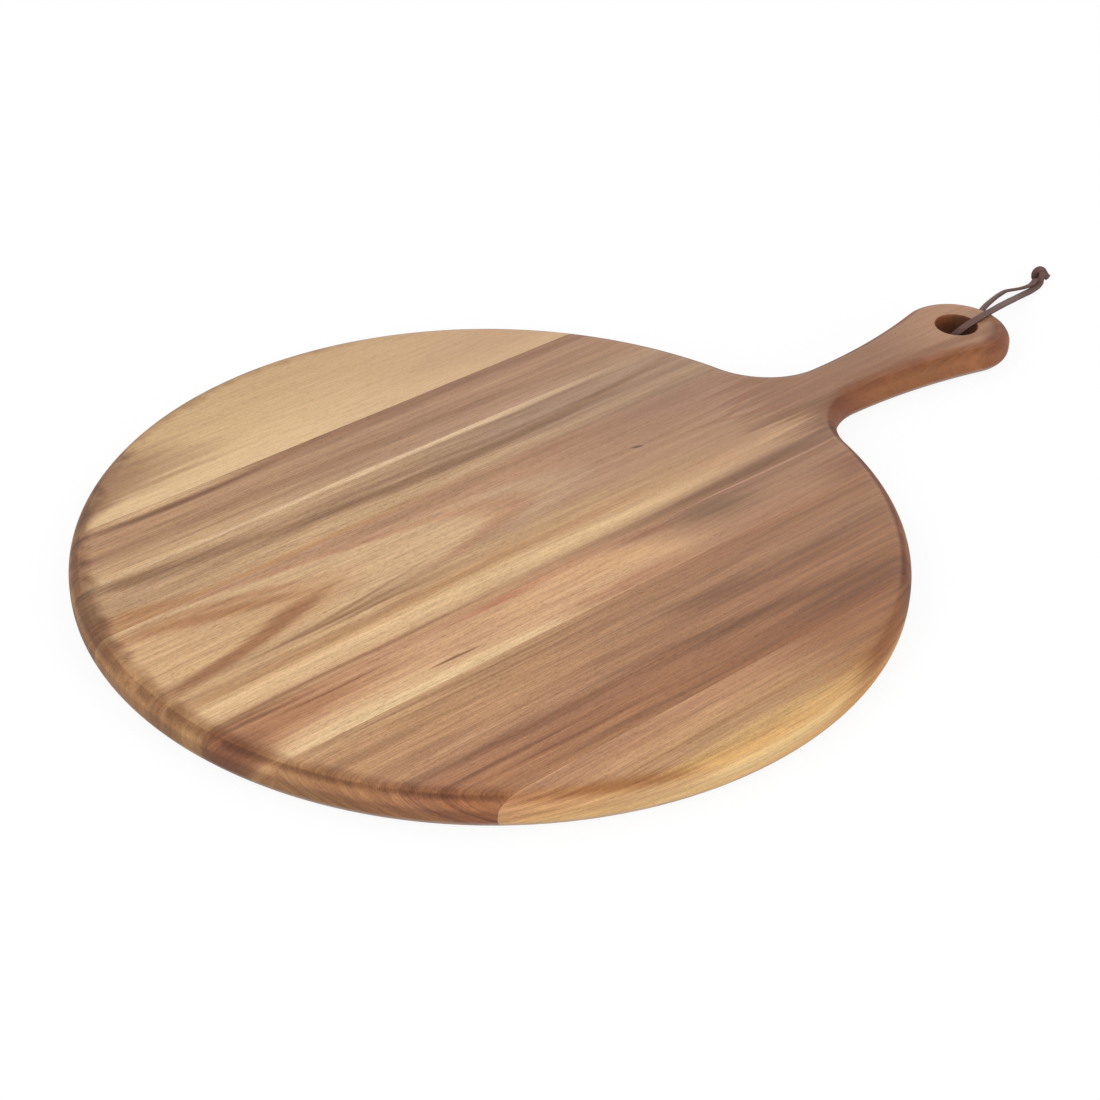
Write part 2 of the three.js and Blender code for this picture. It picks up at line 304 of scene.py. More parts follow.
# %% Board outline
DISC_RADIUS = 177.5 * MM
END_RADIUS = 27.0 * MM
WAIST = 16.25 * MM
NECK_FILLET = 34.0 * MM
TOP_ROUND = (7.5 * MM, 6.5 * MM)
BOTTOM_ROUND = (5.0 * MM, 5.0 * MM)
end_x = TIP_X - END_RADIUS
fillet_y = WAIST + NECK_FILLET
neck_x = np.sqrt((DISC_RADIUS + NECK_FILLET) ** 2 - fillet_y**2)
run = end_x - neck_x
flank_radius = (run**2 + WAIST**2 - END_RADIUS**2) / (2 * (END_RADIUS - WAIST))
flank_y = WAIST + flank_radius
end_angle = np.arctan2(flank_y, neck_x - end_x)
neck_angle = np.arctan2(fillet_y, neck_x)
ARCS = [
    # centre x, centre y, radius, growth with the inset, first angle, last angle, points
    (end_x, 0.0, END_RADIUS, -1, 0.0, end_angle, 56),
    (neck_x, flank_y, flank_radius, 1, end_angle - np.pi, -np.pi / 2, 40),
    (neck_x, fillet_y, NECK_FILLET, 1, -np.pi / 2, neck_angle - np.pi, 26),
    (0.0, 0.0, DISC_RADIUS, -1, neck_angle, np.pi, 260),
]
angles = [np.linspace(a, b, n, endpoint=False) for *_, a, b, n in ARCS]
counts = [len(a) for a in angles]
arc_angle = np.append(np.concatenate(angles), np.pi)
arc_data = np.repeat(np.array([arc[:4] for arc in ARCS]), counts, axis=0)
arc_data = np.vstack([arc_data, arc_data[-1]])


def outline(inset):
    """The whole outline, moved inwards: centre + (radius + growth * inset) * (cos, sin), and its mirror."""
    radius = arc_data[:, 2] + arc_data[:, 3] * inset
    half = arc_data[:, :2] + radius[:, None] * np.stack([np.cos(arc_angle), np.sin(arc_angle)], 1)
    return np.vstack([half, half[-2:0:-1] * [1, -1]])


print("outline of", len(outline(0)), "points, neck at", round(neck_x / MM, 1), "mm")

# %% [markdown]
# ## The blank
# The rim is the outline carried up the rounded edge: a grid of insets by outline points. The two flat
# faces are triangulated between the last outline and the hole, and the hole is a small lathe grid with
# eased rims. Points that coincide are then merged, so that the blank is one closed skin.

# %% Board blank
EDGE_STEPS = 14
FLAT_RING = 0.4 * MM
FACE_SPACING = 7.0 * MM
HOLE_RADIUS = 10.25 * MM
HOLE_EASE = 0.8 * MM
HOLE_POINTS = 96
EASE_STEPS = 6
MERGE = 1e-7
WELD = 1e-6


def rounded_profile(across, down, steps):
    """Inset and drop of a quarter of an ellipse, from the flat face to the upright side."""
    quarter = np.linspace(0, np.pi / 2, steps + 1)
    return across * (1 - np.sin(quarter)), down * (1 - np.cos(quarter))


def rim_grid():
    """Rows of outline points up the edge. A narrow flat ring at each face keeps the shading flat there."""
    low_inset, low = rounded_profile(*BOTTOM_ROUND, EDGE_STEPS)
    high_inset, high = rounded_profile(*TOP_ROUND, EDGE_STEPS)
    first, last = low_inset[0] + FLAT_RING, high_inset[0] + FLAT_RING
    insets = np.concatenate([[first], low_inset, high_inset[::-1], [last]])
    heights = np.concatenate([[0], low, THICKNESS - high[::-1], [THICKNESS]])
    rows = np.stack([outline(i) for i in insets])
    level = np.broadcast_to(heights[:, None, None], rows.shape[:2] + (1,))
    return np.concatenate([rows, level], axis=2)


def hole_grid():
    """Rows round the hole from the top face to the underside: radius plus the ease of each rim."""
    inset, height = rounded_profile(HOLE_EASE, HOLE_EASE, EASE_STEPS)
    flare = np.concatenate([[HOLE_EASE + FLAT_RING], inset, inset[::-1], [HOLE_EASE + FLAT_RING]])
    level = np.concatenate([[THICKNESS], THICKNESS - height, height[::-1], [0]])
    angle = np.linspace(0, 2 * np.pi, HOLE_POINTS, endpoint=False)
    radius = (HOLE_RADIUS + flare)[:, None]
    x = HOLE_X + radius * np.cos(angle)
    y = radius * np.sin(angle)
    return np.stack([x, y, np.broadcast_to(level[:, None], x.shape)], axis=2)


def face_triangles(border, hole):
    """Delaunay triangles of the flat face: border and hole loops, and a lattice kept clear of both."""
    span = np.arange(-DISC_RADIUS, TIP_X, FACE_SPACING)
    x, y = np.meshgrid(span, span)
    x = x + (np.arange(len(span)) % 2)[:, None] * FACE_SPACING / 2
    lattice = np.stack([x.ravel(), y.ravel()], 1)
    loops = np.vstack([border, hole])
    clear = np.linalg.norm(lattice[:, None] - loops[None], axis=2).min(1) > FACE_SPACING / 2
    points = [Vector(p) for p in np.vstack([loops, lattice[clear]])]
    rings = [list(range(len(border))), list(range(len(border), len(loops)))]
    corners, _, triangles, *_ = delaunay_2d_cdt(points, [], rings, 1, MERGE)
    corners = np.array(corners)
    triangles = np.array(triangles)
    middle = corners[triangles].mean(1) - [HOLE_X, 0]
    open_space = np.hypot(*middle.T) < HOLE_RADIUS + HOLE_EASE + FLAT_RING
    return corners, triangles[~open_space]


rim = rim_grid()
bore = hole_grid()
parts = [rim.reshape(-1, 3), bore.reshape(-1, 3)]
faces = grid_faces(*rim.shape[:2]).tolist() + grid_faces(*bore.shape[:2], first=rim.size // 3).tolist()
for border, hole, level, order in ((rim[-1], bore[0], THICKNESS, 1), (rim[0], bore[-1], 0.0, -1)):
    corners, triangles = face_triangles(border[:, :2], hole[:, :2])
    faces += (triangles[:, ::order] + sum(len(p) for p in parts)).tolist()
    parts.append(np.column_stack([corners, np.full(len(corners), level)]))
blank = mesh_object("board_blank", np.vstack(parts), faces)
print("blank of", len(blank.data.polygons), "faces")

# %% [markdown]
# The groove under the handle's end lets the lace pass while the board lies flat. It is the one cut
# that crosses the rounded edge at a slant, so a boolean with a gouge-shaped bar does it.

# %% Lace groove
GROOVE_ANGLE = np.radians(22.6)
GROOVE_WIDTH = 5.4 * MM
GROOVE_DEPTH = 2.8 * MM
GROOVE_CORNER = 1.2 * MM
GROOVE_REACH = 54.0 * MM


def groove_bar():
    """A bar with a round-cornered top, from the hole's centre outwards past the handle's end."""
    inset, drop = rounded_profile(GROOVE_CORNER, GROOVE_CORNER, EASE_STEPS)
    half = GROOVE_WIDTH / 2
    side = np.concatenate([[half], half - inset[::-1], -half + inset, [-half]])
    foot, crown = [-GROOVE_DEPTH], GROOVE_DEPTH - drop
    level = np.concatenate([foot, crown[::-1], crown, foot])
    reach = np.array([0.0, GROOVE_REACH])[:, None]
    x = HOLE_X + reach * np.cos(GROOVE_ANGLE) - side * np.sin(GROOVE_ANGLE)
    y = reach * np.sin(GROOVE_ANGLE) + side * np.cos(GROOVE_ANGLE)
    return np.stack([x, y, np.broadcast_to(level, x.shape)], axis=2)


def clean_skin(mesh):
    """Merges coincident points and turns every face outwards."""
    skin = bmesh.new()
    skin.from_mesh(mesh)
    bmesh.ops.remove_doubles(skin, verts=skin.verts, dist=WELD)
    bmesh.ops.recalc_face_normals(skin, faces=skin.faces)
    open_edges = sum(not edge.is_manifold for edge in skin.edges)
    skin.to_mesh(mesh)
    skin.free()
    return open_edges


bar = groove_bar()
columns = bar.shape[1]
ends = [list(range(columns))[::-1], list(range(columns, 2 * columns))]
gouge = mesh_object("groove_gouge", bar, grid_faces(*bar.shape[:2]).tolist() + ends)
print("open edges of blank and gouge:", clean_skin(blank.data), clean_skin(gouge.data))
cut = blank.modifiers.new("groove", "BOOLEAN")
cut.operation = "DIFFERENCE"
cut.solver = "EXACT"
cut.object = gouge
bpy.context.view_layer.update()
grooved = bpy.data.meshes.new_from_object(blank.evaluated_get(bpy.context.evaluated_depsgraph_get()))
bpy.data.objects.remove(blank)
bpy.data.objects.remove(gouge)
print("grooved blank of", len(grooved.polygons), "faces, open edges:", clean_skin(grooved))

# %% [markdown]
# ## Sawing the staves
# The seven staves are the blank cut along its glue lines. The panel lay a little askew under the
# router, so the lines are turned by 1.4 degrees against the handle. Cutting the finished blank is
# simpler than shaping seven pieces, and it keeps every face flush. The cut faces are filled, so each
# stave is a closed solid of its own.

# %% Staves
PANEL_ANGLE = np.radians(1.4)
GLUE_LINE = 0.05 * MM
SHARP_ANGLE = np.radians(35)
LINES = {"12": 105.4, "23": 68.4, "34": 36.0, "45": -40.8, "56": -70.6, "67": -137.9}
STAVES = [
    # node, glue line at its front, glue line at its back
    ("stave_1_back", "12", None),
    ("stave_2", "23", "12"),
    ("stave_3", "34", "23"),
    ("stave_4_handle", "45", "34"),
    ("stave_5", "56", "45"),
    ("stave_6", "67", "56"),
    ("stave_7_front", None, "67"),
]
panel_across = Vector((-np.sin(PANEL_ANGLE), np.cos(PANEL_ANGLE), 0.0))


def saw(skin, line, keep_back):
    """Cuts at a glue line, keeps the stock behind or before it and fills the cut with flat faces."""
    side = 1 if keep_back else -1
    place = panel_across * (LINES[line] * MM + side * GLUE_LINE / 2)
    stock = skin.verts[:] + skin.edges[:] + skin.faces[:]
    result = bmesh.ops.bisect_plane(
        skin, geom=stock, dist=MERGE, plane_co=place, plane_no=panel_across * side, clear_inner=True
    )
    rim_edges = [g for g in result["geom_cut"] if isinstance(g, bmesh.types.BMEdge)]
    bmesh.ops.holes_fill(skin, edges=rim_edges, sides=0)


def make_stave(node, front_line, back_line):
    """One stave: the grooved blank, sawn at the glue lines at its front and its back."""
    skin = bmesh.new()
    skin.from_mesh(grooved)
    if front_line:
        saw(skin, front_line, keep_back=True)
    if back_line:
        saw(skin, back_line, keep_back=False)
    bmesh.ops.recalc_face_normals(skin, faces=skin.faces)
    mesh = bpy.data.meshes.new("wood_" + node)
    skin.to_mesh(mesh)
    skin.free()
    mesh.shade_smooth()
    mesh.set_sharp_from_angle(angle=SHARP_ANGLE)
    stave = bpy.data.objects.new("wood_" + node, mesh)
    bpy.context.scene.collection.objects.link(stave)
    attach(stave, "root")
    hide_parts(node)
    return stave


staves = {node: make_stave(node, *lines) for node, *lines in STAVES}
for number, stave in enumerate(staves.values(), start=1):
    print(stave.name, len(stave.data.polygons), "faces")

# %% [markdown]
# ## A pen for shader trees
# A wood finish needs many small nodes. A pen keeps the lines short: each call places one node, feeds
# its inputs with numbers or with other nodes' outputs, and returns its output.


# %% Node pen
class Pen:
    """Writes one node tree."""

    def __init__(self, tree):
        self.tree = tree

    def feed(self, node, feeds):
        """Gives a node's inputs, by name or number, plain values or other nodes' outputs."""
        for key, value in feeds.items():
            if isinstance(value, bpy.types.NodeSocket):
                self.tree.links.new(value, node.inputs[key])
            else:
                node.inputs[key].default_value = value
        return node

    def place(self, kind, feeds=None, **settings):
        """A node of that kind. Settings are its own properties."""
        node = self.tree.nodes.new("ShaderNode" + kind)
        for name, value in settings.items():
            setattr(node, name, value)
        return self.feed(node, feeds or {})

    def math(self, operation, a, b=0.0):
        return self.place("Math", {0: a, 1: b}, operation=operation).outputs[0]

    def add(self, a, b):
        return self.math("ADD", a, b)

    def less(self, a, b):
        return self.math("SUBTRACT", a, b)

    def times(self, a, b):
        return self.math("MULTIPLY", a, b)

    def most(self, a, b):
        return self.math("MAXIMUM", a, b)

    def swing(self, noise, amount):
        """Noise turned to swing about nothing, by half the amount to either side."""
        return self.times(self.less(noise, 0.5), amount)

    def vector(self, x, y, z=0.0):
        return self.place("CombineXYZ", {0: x, 1: y, 2: z}).outputs[0]

    def parts(self, vector):
        return self.place("SeparateXYZ", {0: vector}).outputs

    def length(self, vector):
        return self.place("VectorMath", {0: vector}, operation="LENGTH").outputs["Value"]

    def fade(self, value, low, high, to_low=0.0, to_high=1.0):
        """Smooth step: to_low where the value is low, to_high where it is high."""
        feeds = {"Value": value, "From Min": low, "From Max": high, "To Min": to_low, "To Max": to_high}
        return self.place("MapRange", feeds, interpolation_type="SMOOTHSTEP").outputs[0]

    def window(self, value, start, full, waning, end):
        """One between full and waning, nothing outside start and end, with smooth slopes between."""
        return self.times(self.fade(value, start, full), self.fade(value, end, waning))

    def mix(self, share, a, b, blend="MIX"):
        feeds = {"Factor": share, 6: a, 7: b}
        return self.place("Mix", feeds, data_type="RGBA", blend_type=blend).outputs[2]

    def noise(self, vector, detail, roughness=0.5):
        feeds = {"Vector": vector, "Scale": 1.0, "Detail": detail, "Roughness": roughness}
        return self.place("TexNoise", feeds).outputs[0]

    def ramp(self, value, stops, low, high):
        """Colour ramp over a length: stops are (place, colour), with places between low and high."""
        node = self.place("ValToRGB", {0: self.math("DIVIDE", self.less(value, low), high - low)})
        node.color_ramp.interpolation = "B_SPLINE"
        elements = node.color_ramp.elements
        while len(elements) < len(stops):
            elements.new(0.5)
        for element, (at, colour) in zip(elements, sorted(stops)):
            element.position = (at - low) / (high - low)
            element.color = colour
        return node.outputs[0]

    def group(self, tree, feeds):
        return self.place("Group", feeds, node_tree=tree).outputs


# %% New groups and materials
def new_group(name, inputs, outputs):
    """An empty shader group with named sockets: the group, a pen for it, its inputs' sockets and the node
    that takes its results. Inputs are (name, kind, default) and outputs are (name, kind)."""
    tree = bpy.data.node_groups.new(name, "ShaderNodeTree")
    for label, kind, default in inputs:
        socket = tree.interface.new_socket(label, in_out="INPUT", socket_type="NodeSocket" + kind)
        socket.default_value = default
    for label, kind in outputs:
        tree.interface.new_socket(label, in_out="OUTPUT", socket_type="NodeSocket" + kind)
    return tree, Pen(tree), tree.nodes.new("NodeGroupInput").outputs, tree.nodes.new("NodeGroupOutput")


def new_material(name):
    """A material, a pen for its tree, and its Principled shader."""
    material = bpy.data.materials.new(name)
    material.use_nodes = True
    return material, Pen(material.node_tree), material.node_tree.nodes["Principled BSDF"]


print("the pen knows", sum(not name.startswith("_") for name in vars(Pen)), "strokes")

# %% [markdown]
# ## Grain
# Wood is a solid pattern: the lines on the top face run over the edge and down through the stave. So
# the pattern is read from Object coordinates, turned into the panel's own frame and into millimetres:
# along the grain, across it, and depth below the top face. The growth layers lean, so the place
# across the grain slides with depth, and they wander a little along the board. Streaks, fine lines, grit
# and pores are noise stretched along the grain. All but the streaks are calmer towards the handle.

# %% Grain group
SLOW_ALONG = 0.009
SLOW_ACROSS = 0.03
SLOW_DETAIL = 2.0
WANDER_REACH = 5.0
grain_group, pen, given, result = new_group(
    "board_grain",
    [("Lean", "Float", 0.5), ("Wander", "Float", 1.0), ("Seed", "Float", 0.0)],
    [(label, "Float") for label in ("Along", "Across", "Level", "Streak", "Fine", "Pores")],
)
place = pen.place("TexCoord").outputs["Object"]
scaled = pen.place("Mapping", {"Vector": place, "Rotation": (0, 0, -PANEL_ANGLE), "Scale": (1 / MM,) * 3})
along, level, height = pen.parts(scaled.outputs[0])
depth = pen.less(THICKNESS / MM, height)
leaned = pen.add(level, pen.times(depth, given["Lean"]))
slow = pen.vector(pen.times(along, SLOW_ALONG), pen.times(leaned, SLOW_ACROSS), given["Seed"])
wander = pen.swing(pen.noise(slow, SLOW_DETAIL), given["Wander"])
across = pen.add(leaned, pen.times(wander, WANDER_REACH))
print("place in the grain:", len(grain_group.nodes), "nodes")

# %% Grain noise
GRAIN_NOISE = [
    # scale along, across and down through the stave (per mm), then detail and roughness
    ((0.011, 0.33, 0.02), 5.0, 0.62),
    ((0.035, 1.35, 0.3), 3.0, 0.7),
    ((0.8, 1.8, 1.2), 2.0, 0.6),
    ((0.27, 1.9, 1.7), 1.5, 0.5),
]
GRIT_DEPTH = 0.6
PORE_STEP = (0.56, 0.70)
CALM = (-40.0, 150.0, 1.0, 0.45)


def stretched(along_scale, across_scale, depth_scale):
    """Grain coordinates squeezed along the stave, so that noise on them runs in streaks."""
    shift = pen.add(given["Seed"], pen.times(depth, depth_scale))
    return pen.vector(pen.times(along, along_scale), pen.times(across, across_scale), shift)


streak, fine, grit, dashes = (pen.noise(stretched(*scales), *rest) for scales, *rest in GRAIN_NOISE)
calm = pen.fade(along, *CALM)
fine = pen.add(fine, pen.swing(grit, GRIT_DEPTH))
fine = pen.add(0.5, pen.swing(fine, calm))
pores = pen.times(pen.fade(dashes, *PORE_STEP), calm)
made = {"Along": along, "Across": across, "Level": level, "Streak": streak, "Fine": fine, "Pores": pores}
pen.feed(result, made)
print("grain group:", len(grain_group.nodes), "nodes")

# %% [markdown]
# ## Marks
# Smudges, veins, flames and slashes are what make one board differ from the next. Each is an ellipse
# about a slightly curved line along the grain, with a soft, streaky border. One group makes the mask,
# and every mark of every stave uses it.

# %% Mark group
mark_group, pen, given, result = new_group(
    "board_mark",
    [("Along", "Float", 0), ("Across", "Float", 0), ("Feather", "Float", 0.5),
     ("Centre", "Vector", (0, 0, 0)), ("Reach", "Vector", (10, 2, 0.5)), ("Course", "Vector", (0, 0, 0))],
    [("Mask", "Float")],
)
centre_x, centre_y, _ = pen.parts(given["Centre"])
reach_x, reach_y, softness = pen.parts(given["Reach"])
slope, bend, _ = pen.parts(given["Course"])
run_on = pen.less(given["Along"], centre_x)
course = pen.times(run_on, pen.add(slope, pen.times(run_on, bend)))
off = pen.less(pen.less(given["Across"], centre_y), course)
distance = pen.length(pen.vector(pen.math("DIVIDE", run_on, reach_x), pen.math("DIVIDE", off, reach_y)))
ragged = pen.add(distance, pen.less(given["Feather"], 0.5))
pen.feed(result, {"Mask": pen.fade(ragged, pen.add(1.0, softness), pen.less(1.0, softness))})
print("mark group:", len(mark_group.nodes), "nodes")

# %% [markdown]
# ## Oiled surface and painted shade
# The finish is the same on every stave. Oil soaks deepest into cut fibres, so the rounded edge is darker
# and redder than the flat face, most of all where it cuts across the grain. A painted image would need
# seams and unwrapping. A group that reads each point's place and facing needs neither, and it serves all
# staves. The group also paints shade into the colour: on the shoulder, the low side and the lower edge.
# The next cells write it: what it reads, the edge, the shoulder, and the finish.

# %% Oiled surface and painted shade group
BLOTCHES = {"Scale": 100.0, "Detail": 4.0}
END_GRAIN = (0.3, 1.0)
oil_and_shade_group, pen, given, result = new_group(
    "oiled_surface_and_painted_shade",
    [("Color", "Color", (0.4, 0.2, 0.1, 1)), ("Streak", "Float", 0.5), ("Fine", "Float", 0.5),
     ("Pores", "Float", 0), ("Streak Depth", "Float", 0.5), ("Pore Depth", "Float", 0.3),
     ("Rim Depth", "Float", 1.0)],
    [("Color", "Color"), ("Roughness", "Float"), ("Height", "Float")],
)
coordinates = pen.place("TexCoord").outputs
facing = coordinates["Normal"]
rise = pen.parts(facing)[2]
upright = pen.math("ABSOLUTE", rise)
grain_way = (np.cos(PANEL_ANGLE), np.sin(PANEL_ANGLE), 0.0)
along_grain = pen.place("VectorMath", {0: facing, 1: grain_way}, operation="DOT_PRODUCT").outputs["Value"]
end_grain = pen.fade(pen.math("ABSOLUTE", along_grain), *END_GRAIN)
in_mm = pen.place("Mapping", {"Vector": coordinates["Object"], "Scale": (1 / MM,) * 3}).outputs[0]
x, y, _ = pen.parts(in_mm)
from_centre = pen.length(pen.vector(x, y))
blotches = pen.place("TexNoise", {"Vector": coordinates["Object"], **BLOTCHES}).outputs[0]
print("place and facing:", len(oil_and_shade_group.nodes), "nodes")

# %% [markdown]
# On the disc, the dark border starts inside the rounding, with a ragged line, and a little further in at
# the left. Where it lies on the flat, it is the edge's oil colour with painted shade, as on a wider
# rounding.
# On the handle it follows the front side only. There the distance to the outline comes from the
# arcs that drew it: the flank's arc, up to where the end's arc takes over. Lengths are in millimetres.

# %% Oiled edge with painted shade
RIM = DISC_RADIUS / MM
BORDER = (RIM - 11, RIM - 4, 0.0, 0.65)
BORDER_ALONG = (90, 0)
BORDER_RAGGED = 8.0
DEEP_ACROSS = (-10, 25, 60, 100)
DEEP_ALONG = (-100, -130)
DEEP_REACH = 1.5
HANDLE_BORDER = (10.5, 6.5, 0.0, 0.7)
HANDLE_FRONT = (0, -8)
HANDLE_ALONG = (188, 206)
TURNED = (0.995, 0.90)
deep = pen.times(pen.window(y, *DEEP_ACROSS), pen.fade(x, *DEEP_ALONG))
ragged = pen.add(pen.swing(blotches, BORDER_RAGGED), pen.times(deep, DEEP_REACH))
disc_edge = pen.times(pen.fade(pen.add(from_centre, ragged), *BORDER), pen.fade(x, *BORDER_ALONG))
flank_off = pen.vector(pen.less(x, neck_x / MM), pen.less(pen.math("ABSOLUTE", y), flank_y / MM))
from_flank = pen.less(pen.length(flank_off), flank_radius / MM)
end_off = pen.vector(pen.less(x, end_x / MM), y)
from_end = pen.less(END_RADIUS / MM, pen.length(end_off))
on_flank = pen.math("LESS_THAN", x, (end_x + END_RADIUS * np.cos(end_angle)) / MM)
inset = pen.add(from_end, pen.times(on_flank, pen.less(from_flank, from_end)))
handle_edge = pen.times(pen.fade(inset, *HANDLE_BORDER), pen.fade(y, *HANDLE_FRONT))
handle_edge = pen.times(handle_edge, pen.fade(x, *HANDLE_ALONG))
turned = pen.most(pen.fade(upright, *TURNED), pen.most(disc_edge, handle_edge))
print("border from", round(BORDER[0], 1), "mm on a disc of", round(RIM, 1), "mm")

# %% [markdown]
# The shoulder, where the flat rolls over into the side, is painted the darkest line of all: oil in the cut
# fibres and painted shade where the rounding turns from the light. It is patchy, and it is strongest at the
# two ends of the disc, where the fibres are cut across; at the right end it is painted shade. It is also
# stronger at the back than at the front, and even over one stretch at the left front.

# %% Shoulder oil and painted shade
PATCHES = (0.38, 0.62, 0.35, 1.1)
LEFT_END = (-100, -70, 1.0, 0.45)
RIGHT_END_SHADE = (70, 100, 0.0, 1.1)
BACK_GAIN = (-30, 50, 0.95, 1.45)
FRONT_GAIN = (-150, -110, 0.85, 1.0)
EVEN_ACROSS = (-120, -95, -60, -45)
ROLL_START = 0.88
ROLL_END = (-90, -20, 0.66, 0.35)
on_disc = pen.math("LESS_THAN", from_centre, RIM)
# Painted shade: the right end of the disc darkens the shoulder too.
disc_ends = pen.most(pen.fade(x, *LEFT_END), pen.times(pen.fade(x, *RIGHT_END_SHADE), on_disc))
gain = pen.times(pen.fade(y, *BACK_GAIN), pen.fade(y, *FRONT_GAIN))
patchy = pen.times(gain, pen.most(pen.fade(blotches, *PATCHES), deep))
shoulder_oil_and_shade = pen.times(pen.most(patchy, pen.window(y, *EVEN_ACROSS)), disc_ends)
# Painted shade with oil: how strongly the shoulder darkens.
shoulder = pen.times(pen.fade(upright, pen.fade(y, *ROLL_END), ROLL_START), shoulder_oil_and_shade)
print("shoulder reached after", len(oil_and_shade_group.nodes), "nodes")

# %% [markdown]
# Each tint multiplies the colour below it by its own share, as thin coats of oil do: streaks and fine
# lines about the mean, dark pores, the edge, and the shoulder, which is oil and painted shade. The low
# side near the floor is greyed with painted shade, and the lower edge is painted dark as a contact shadow.
# The gloss is satin: pores are a little rougher and lie below the surface, and the cut fibres of
# the edge take off more of the shine.

# %% Oiled finish and painted shade
DARK_STREAK = (0.66, 0.58, 0.50, 1)
LIGHT_STREAK = (1.25, 1.30, 1.34, 1)
PORE_TINT = (0.50, 0.38, 0.28, 1)
LONG_TINT = (0.86, 0.73, 0.62, 1)
HANDLE_TINT = (0.88, 0.63, 0.44, 1)
END_TINT = (0.50, 0.40, 0.30, 1)
SHOULDER_OIL_AND_SHADE_TINT = (0.46, 0.39, 0.30, 1)
RIGHT_END_SHADE_TINT = (0.60, 0.43, 0.29, 1)
# Painted shade tints: the low side near the floor, and the downward-facing lower edge.
LOW_SIDE_SHADE_TINT = (0.72, 0.70, 0.68, 1)
UNDERSIDE_SHADE_TINT = (0.30, 0.25, 0.22, 1)
STREAK_STEP = (0.30, 0.68)
FINE_STEP = (0.28, 0.70)
FINE_LEAST, FINE_MORE = 0.28, 0.6
HANDLE_START = (RIM - 15, RIM + 10)
RIGHT_END_SHADE_START = (60, 100)
LOW_SIDE_SHADE_FACING = (0.45, 0.1)
LOW_SIDE_SHADE_ALONG = (RIM, RIM - 30)
LOW_SIDE_SHADE_LEAST, LOW_SIDE_SHADE_MORE = 0.2, 0.8
UNDERSIDE_SHADE_FACING = (-0.98, -0.85, -0.55, -0.1)
UNDERSIDE_SHADE_SHARE = 0.6
ROUGHNESS, PORE_ROUGH, FINE_ROUGH, EDGE_ROUGH = 0.40, 0.15, 0.06, 0.22
FINE_HEIGHT = 0.35
side = pen.times(turned, given["Rim Depth"])
long_tint = pen.mix(pen.fade(x, *HANDLE_START), LONG_TINT, HANDLE_TINT)
fine_share = pen.add(FINE_LEAST, pen.times(given["Streak Depth"], FINE_MORE))
low_side_shade_share = pen.add(LOW_SIDE_SHADE_LEAST, pen.times(given["Rim Depth"], LOW_SIDE_SHADE_MORE))
# Painted shade: the low side of the rim, near the floor, is greyed and darkened.
low = pen.times(pen.fade(rise, *LOW_SIDE_SHADE_FACING), pen.fade(x, *LOW_SIDE_SHADE_ALONG))
coats = [
    (given["Streak Depth"], pen.mix(pen.fade(given["Streak"], *STREAK_STEP), DARK_STREAK, LIGHT_STREAK)),
    (fine_share, pen.mix(pen.fade(given["Fine"], *FINE_STEP), DARK_STREAK, LIGHT_STREAK)),
    (pen.times(given["Pores"], given["Pore Depth"]), PORE_TINT),
    (side, pen.mix(end_grain, long_tint, END_TINT)),
    # Painted shade on the shoulder, redder at the right end.
    (pen.times(side, shoulder), pen.mix(pen.fade(x, *RIGHT_END_SHADE_START), SHOULDER_OIL_AND_SHADE_TINT, RIGHT_END_SHADE_TINT)),
    (pen.times(low, low_side_shade_share), LOW_SIDE_SHADE_TINT),
]
tinted = given["Color"]
for share, tint in coats:
    tinted = pen.mix(share, tinted, tint, "MULTIPLY")
# Painted contact shadow: the downward-facing lower edge is darkened.
tinted = pen.mix(pen.times(pen.window(rise, *UNDERSIDE_SHADE_FACING), UNDERSIDE_SHADE_SHARE), tinted, UNDERSIDE_SHADE_TINT)
rough = ROUGHNESS
for share, more in ((given["Pores"], PORE_ROUGH), (given["Fine"], FINE_ROUGH), (turned, EDGE_ROUGH)):
    rough = pen.add(rough, pen.times(share, more))
height = pen.less(pen.times(given["Fine"], FINE_HEIGHT), given["Pores"])
pen.feed(result, {"Color": tinted, "Roughness": rough, "Height": height})
print("oiled surface group:", len(oil_and_shade_group.nodes), "nodes")

# %% [markdown]
# ## Colours
# Colours are noted as they look on the lit top face, in the usual 0 to 255 steps. The satin surface
# adds a veil of white reflection there, more towards the far side, where it is seen at a flatter angle.
# The veil is taken off before a colour goes into the shader.

# %% Seen colours
VEIL_MIDDLE = 0.060
VEIL_RISE = 0.0001
LIGHT_LEVEL = 0.97
LEAST_TINT = (0.0, 0.34, 0.07)


def wood(colour, along, across):
    """A seen colour as the shader's linear colour, by the sRGB curve, less the veil. Along and across (mm)
    say where it was seen."""
    seen = np.array(colour) / 255
    linear = np.where(seen <= 0.04045, seen / 12.92, ((seen + 0.055) / 1.055) ** 2.4)
    away = -np.sin(CAMERA_AZIMUTH) * along + np.cos(CAMERA_AZIMUTH) * across
    veil = VEIL_MIDDLE + VEIL_RISE * away
    own = (linear - veil) / LIGHT_LEVEL
    return (*np.maximum(own, own[0] * np.array(LEAST_TINT)), 1.0)


print("tan in the middle:", [round(float(x), 3) for x in wood((205, 168, 125), 0, 0)])

# %% [markdown]
# ## One finish for seven staves
# A stave's colour lies in bands along the grain, and the bands differ at its two ends. So two colour
# ramps across the stave are blended along it, with a streaky border. Marks go on top, and the oiled
# surface comes last. One function writes this tree for every stave.


# %% Stave finish
LEFT_BANDS_AT = -110
RIGHT_BANDS_AT = 110
RAGGED_TURN = 120.0
PANEL_EDGE = 182.0
STAVE_EDGES = [PANEL_EDGE, *LINES.values(), -PANEL_EDGE]
BORE_SOFTNESS = 0.02
GRAIN_BUMP = {"Strength": 0.25, "Distance": 0.08 * MM}


